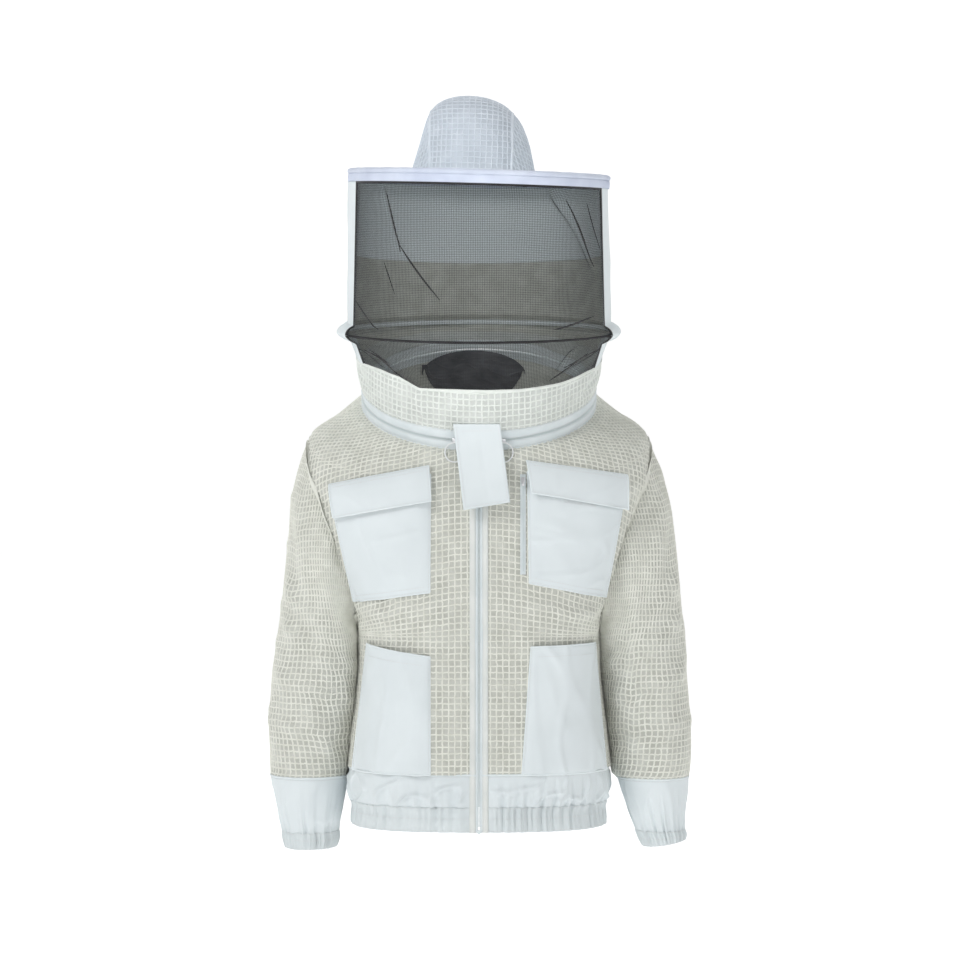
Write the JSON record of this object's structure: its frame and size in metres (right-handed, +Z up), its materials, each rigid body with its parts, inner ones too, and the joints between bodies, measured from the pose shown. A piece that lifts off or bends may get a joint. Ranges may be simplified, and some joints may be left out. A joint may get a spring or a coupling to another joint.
{
  "type": "beekeeping jacket",
  "caption": "Ventilated beekeeping jacket with a zip-on round-hat veil hood, two chest pockets with flaps, lower pockets, elastic cuffs and hem.",
  "frame": {"origin": "centre of the neck zip ring, where the hood joins the jacket and which rests round the wearer's neck and shoulders", "axes": "+Z up, the wearer faces -Y, the wearer's left is +X"},
  "size_m": [0.607, 0.4006, 1.0812],
  "materials": {
    "mesh_fabric": "three-layer mesh: raised cream yarn grid over a soft spacer",
    "white_cotton": "plain woven cotton, matte",
    "gathered_cotton": "plain cotton gathered over elastic",
    "black_net": "open black net, matte",
    "dark_facing": "dark woven facing, matte",
    "hat_mesh": "three-layer mesh, cooler white",
    "zip_tape": "woven zip tape",
    "zip_teeth": "moulded white teeth and coil",
    "hook_loop": "hook and loop fastener",
    "foam_core": "stiff closed foam",
    "binding": "smooth rolled binding, pale blue white",
    "spring_wire": "drawn spring steel wire",
    "pull_metal": "bright cast zip hardware"
  },
  "bodies": {
    "jacket": {"back_panel": "mesh_fabric", "hem_panel": "white_cotton", "hem_elastic": "gathered_cotton", "front_panel_left": "mesh_fabric", "front_panel_right": "mesh_fabric", "front_facing_left": "white_cotton", "front_facing_right": "white_cotton", "front_zip_tape_left": "zip_tape", "front_zip_tape_right": "zip_tape", "front_zip_teeth": "zip_teeth", "front_zip_stop": "zip_teeth", "neck_zip_tape_jacket": "zip_tape", "neck_zip_coil_jacket": "zip_teeth", "neck_facing": "dark_facing", "chest_pocket_left": "white_cotton", "chest_pocket_right": "white_cotton", "lower_pocket_left": "white_cotton", "lower_pocket_right": "white_cotton", "chest_loop_strip_left": "hook_loop", "chest_loop_strip_right": "hook_loop", "pocket_zip_tape": "zip_tape"},
    "hood": {"neck_zip_coil_hood": "zip_teeth", "neck_zip_tape_hood": "zip_tape", "collar_panel": "mesh_fabric", "veil_net_front": "black_net", "veil_net_lower": "black_net", "veil_side_left": "white_cotton", "veil_side_right": "white_cotton", "veil_back_lower": "mesh_fabric", "veil_back_upper": "white_cotton", "veil_hoop_casing": "binding", "veil_hoop_wire": "spring_wire", "crown_right": "hat_mesh", "crown_center": "hat_mesh", "crown_left": "hat_mesh", "sweatband": "white_cotton", "brim_under_cover": "white_cotton", "brim_core": "foam_core", "brim_top_cover": "hat_mesh", "brim_binding": "binding", "brim_wire": "spring_wire", "veil_header_tape": "binding"},
    "neck_tab": {"neck_tab": "white_cotton", "tab_hook_patch": "hook_loop"},
    "front_zip_slider": {"front_zip_slider": "pull_metal"},
    "front_zip_pull": {"front_zip_pull": "pull_metal"},
    "pocket_zip_slider": {"pocket_zip_slider": "pull_metal"},
    "sleeve_left": {"sleeve_left": "mesh_fabric", "cuff_left": "white_cotton", "wrist_elastic_left": "gathered_cotton"},
    "chest_flap_left": {"chest_flap_left": "white_cotton"},
    "neck_slider_left": {"neck_slider_left": "pull_metal"},
    "neck_ring_pull_left": {"neck_ring_pull_left": "pull_metal"},
    "sleeve_right": {"sleeve_right": "mesh_fabric", "cuff_right": "white_cotton", "wrist_elastic_right": "gathered_cotton"},
    "chest_flap_right": {"chest_flap_right": "white_cotton"},
    "neck_slider_right": {"neck_slider_right": "pull_metal"},
    "neck_ring_pull_right": {"neck_ring_pull_right": "pull_metal"}
  },
  "joints": [
    {"name": "hood_fold_back", "type": "hinge", "parent": "jacket", "child": "hood", "pos_m": [0, 0.15588, 0.07269], "axis": [-1, 0, 0], "range_deg": [0, 100]},
    {"name": "sleeve_swing_left", "type": "hinge", "parent": "jacket", "child": "sleeve_left", "pos_m": [0.18, 0, -0.135], "axis": [0, -1, 0], "range_deg": [0, 45]},
    {"name": "sleeve_swing_right", "type": "hinge", "parent": "jacket", "child": "sleeve_right", "pos_m": [-0.18, 0, -0.135], "axis": [0, 1, 0], "range_deg": [0, 45]},
    {"name": "neck_tab_lift", "type": "hinge", "parent": "hood", "child": "neck_tab", "pos_m": [-0.003, -0.1682, -0.0488], "axis": [-0.9903, 0, -0.1392], "range_deg": [0, 110]},
    {"name": "chest_flap_lift_left", "type": "hinge", "parent": "jacket", "child": "chest_flap_left", "pos_m": [0.1417, -0.149, -0.1094], "axis": [-0.9448, -0.3009, 0.1294], "range_deg": [0, 110]},
    {"name": "chest_flap_lift_right", "type": "hinge", "parent": "jacket", "child": "chest_flap_right", "pos_m": [-0.155, -0.1463, -0.1205], "axis": [-0.9305, 0.3276, -0.1638], "range_deg": [0, 110]},
    {"name": "front_zip_slide", "type": "slide", "parent": "jacket", "child": "front_zip_slider", "axis": [0, 0, -1], "range_m": [0, 0.48]},
    {"name": "front_pull_flip", "type": "hinge", "parent": "front_zip_slider", "child": "front_zip_pull", "pos_m": [0, -0.1621, -0.121], "axis": [-1, 0, 0], "range_deg": [0, 12]},
    {"name": "pocket_zip_slide", "type": "slide", "parent": "jacket", "child": "pocket_zip_slider", "axis": [0, 0, -1], "range_m": [0, 0.115]},
    {"name": "neck_slider_run_left", "type": "hinge", "parent": "jacket", "child": "neck_slider_left", "pos_m": [0, 0, 0], "axis": [0, -0.4226, 0.9063], "range_deg": [0, 120]},
    {"name": "neck_slider_run_right", "type": "hinge", "parent": "jacket", "child": "neck_slider_right", "pos_m": [0, 0, 0], "axis": [0, 0.4226, -0.9063], "range_deg": [0, 120]},
    {"name": "ring_pull_lift_left", "type": "hinge", "parent": "neck_slider_left", "child": "neck_ring_pull_left", "pos_m": [0.03298, -0.15626, -0.07397], "axis": [-0.9823, -0.1698, -0.0792], "range_deg": [0, 85]},
    {"name": "ring_pull_lift_right", "type": "hinge", "parent": "neck_slider_right", "child": "neck_ring_pull_right", "pos_m": [-0.03298, -0.15626, -0.07397], "axis": [-0.9823, 0.1698, 0.0792], "range_deg": [0, 85]}
  ],
  "couplings": [
    {"joint": "ring_pull_lift_left", "follows": "neck_slider_run_left", "ratio": 0.7},
    {"joint": "ring_pull_lift_right", "follows": "neck_slider_run_right", "ratio": 0.7}
  ]
}
